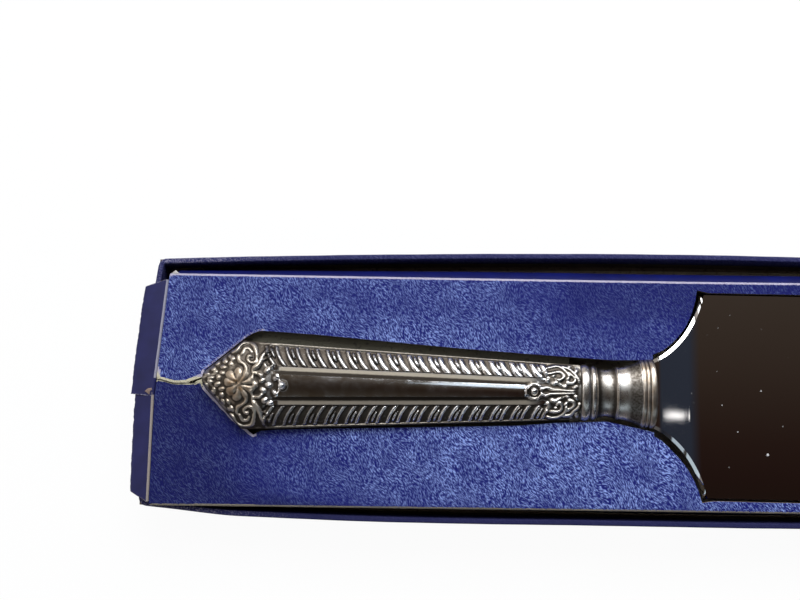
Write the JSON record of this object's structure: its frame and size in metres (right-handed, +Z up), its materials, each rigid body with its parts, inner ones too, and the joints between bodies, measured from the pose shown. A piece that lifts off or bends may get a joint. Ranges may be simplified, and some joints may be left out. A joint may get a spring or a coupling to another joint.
{
  "type": "boxed cake server",
  "caption": "Silver-plated cake server with an ornate hollow handle and a polished blade, lying in the cut-out of a worn blue leatherette presentation tray",
  "frame": {"origin": "centre of the tray's flat underside", "axes": "+X towards the tip of the blade, +Y towards the side away from the viewer, +Z up"},
  "size_m": [0.3091, 0.0732, 0.0261],
  "materials": {
    "leatherette": "embossed leatherette grain with a slight sheen",
    "flap_paper": "smooth navy paper on card",
    "greyboard": "raw greyboard",
    "insert_card": "raw card",
    "stay_tape": "gummed kraft tape",
    "lining_paper": "plain kraft paper",
    "silver_plate": "bright silver plate, darkened in the hollows of the ornament",
    "polished_steel": "mirror polished with fine wear",
    "handle_cement": "dull"
  },
  "bodies": {
    "tray": {"base_paper": "leatherette", "tray_board": "greyboard", "outer_wrap": "leatherette", "corner_stays": "stay_tape", "floor_lining": "lining_paper", "handle_cradle": "greyboard", "blade_rest": "greyboard"},
    "insert": {"insert_panel": "insert_card", "insert_facing": "leatherette", "far_leg": "flap_paper", "near_leg": "flap_paper", "right_leg": "flap_paper"},
    "flap_far": {"left_flap_far": "flap_paper"},
    "flap_near": {"left_flap_near": "flap_paper"},
    "server": {"blade": "polished_steel", "collar": "silver_plate", "bolster": "silver_plate", "handle_top_shell": "silver_plate", "handle_bottom_shell": "silver_plate", "handle_filler": "handle_cement"}
  },
  "joints": [
    {"name": "insert_lift", "type": "slide", "parent": "tray", "child": "insert", "axis": [0, 0, 1], "range_m": [0, 0.06]},
    {"name": "server_lift", "type": "slide", "parent": "insert", "child": "server", "axis": [0, 0, 1], "range_m": [0, 0.08]},
    {"name": "far_flap_fold", "type": "hinge", "parent": "insert", "child": "flap_far", "pos_m": [-0.14975, -0.0035, 0.01843], "axis": [0.0788, 0.9969, 0], "range_deg": [0, 95]},
    {"name": "near_flap_fold", "type": "hinge", "parent": "insert", "child": "flap_near", "pos_m": [-0.14975, -0.0175, 0.01843], "axis": [0, 1, 0], "range_deg": [0, 98]}
  ]
}
